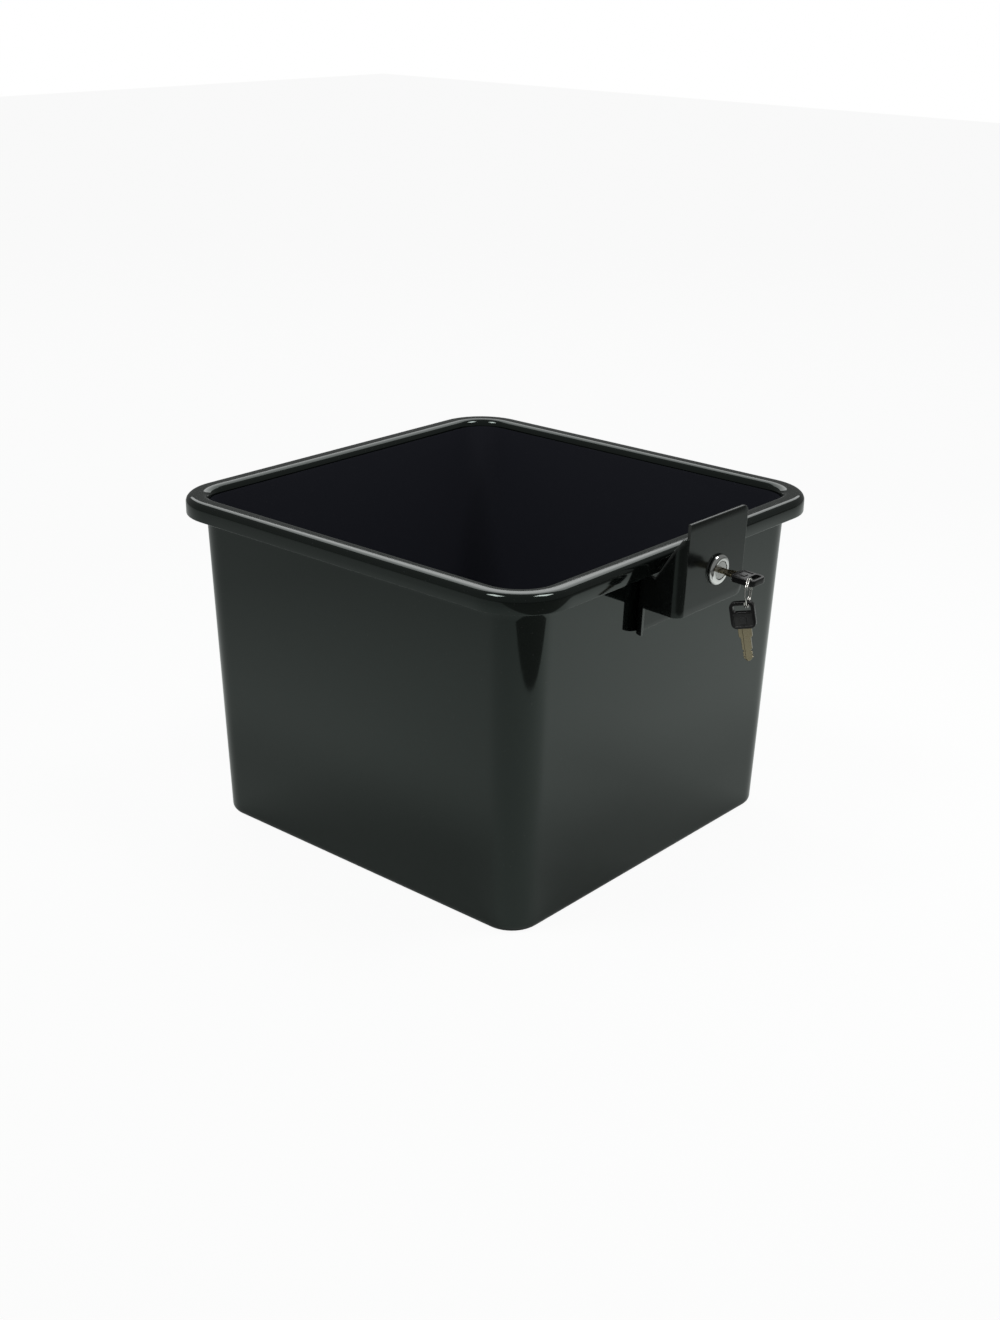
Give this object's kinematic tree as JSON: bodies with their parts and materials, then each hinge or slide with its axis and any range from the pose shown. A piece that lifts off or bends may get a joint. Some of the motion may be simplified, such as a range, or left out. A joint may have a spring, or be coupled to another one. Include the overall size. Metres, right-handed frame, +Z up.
{
  "type": "lockable cash tub",
  "caption": "Square moulded cash tub with a turned-down rim and a folded steel lock bracket carrying a cam lock, key and spare key on a split ring.",
  "frame": {"origin": "centre of the tub's flat underside, on the surface it stands on", "axes": "+Z up from the underside to the open mouth, -Y towards the lock and its key, +X towards the bracket's open side"},
  "size_m": [0.362, 0.4264, 0.2911],
  "materials": {
    "tub_plastic": "gloss black moulded plastic with a slight ripple and fine handling scratches",
    "bracket_paint": "semi-gloss black powder coat, worn bright along the cut edges",
    "lock_chrome": "bright chrome plate",
    "die_cast_zinc": "plated zinc die casting, satin",
    "plated_steel": "zinc-plated or nickel-plated steel, satin to bright",
    "spring_steel": "bare spring steel",
    "key_brass": "milled brass, lightly worn",
    "key_plastic": "black moulded plastic, satin"
  },
  "bodies": {
    "tub_body": {"tub": "tub_plastic", "lock_bracket": "bracket_paint", "bracket_bolt_left": "plated_steel", "bolt_inner_washer_left": "plated_steel", "bolt_outer_washer_left": "plated_steel", "bolt_nut_left": "plated_steel", "bracket_bolt_right": "plated_steel", "bolt_inner_washer_right": "plated_steel", "bolt_outer_washer_right": "plated_steel", "bolt_nut_right": "plated_steel", "lock_barrel": "lock_chrome", "lock_washer": "plated_steel", "lock_nut": "die_cast_zinc"},
    "plug": {"lock_plug": "die_cast_zinc", "stop_washer": "plated_steel", "cam": "plated_steel", "spring_washer": "spring_steel", "cam_screw": "plated_steel", "wafer_spring_1": "spring_steel", "wafer_spring_2": "spring_steel", "wafer_spring_3": "spring_steel", "wafer_spring_4": "spring_steel"},
    "wafers": {"wafer_1": "key_brass", "wafer_2": "key_brass", "wafer_3": "key_brass", "wafer_4": "key_brass"},
    "key": {"key_blade": "key_brass", "key_bow": "key_plastic"},
    "ring": {"key_ring": "plated_steel"},
    "spare_key": {"spare_key_blade": "key_brass", "spare_key_bow": "key_plastic"}
  },
  "joints": [
    {"name": "lock_turn", "type": "hinge", "parent": "tub_body", "child": "plug", "pos_m": [0, -0.20414, 0.25], "axis": [0, -0.9994, -0.0352], "range_deg": [0, 90]},
    {"name": "wafer_shift", "type": "slide", "parent": "plug", "child": "wafers", "axis": [1, 0, 0], "range_m": [0, 0.0008]},
    {"name": "key_slide", "type": "slide", "parent": "plug", "child": "key", "axis": [0, -0.9994, -0.0352], "range_m": [0, 0.02]},
    {"name": "ring_swing", "type": "hinge", "parent": "key", "child": "ring", "pos_m": [-0.00755, -0.23632, 0.24887], "axis": [0.3907, -0.9205, 0], "range_deg": [-90, 0]},
    {"name": "spare_key_swing", "type": "hinge", "parent": "ring", "child": "spare_key", "pos_m": [-0.01123, -0.23788, 0.23367], "axis": [0.9205, 0.3907, 0], "range_deg": [-30, 30]}
  ],
  "couplings": [
    {"joint": "wafer_shift", "follows": "key_slide", "ratio": 0.04},
    {"joint": "ring_swing", "follows": "lock_turn", "ratio": -1}
  ]
}
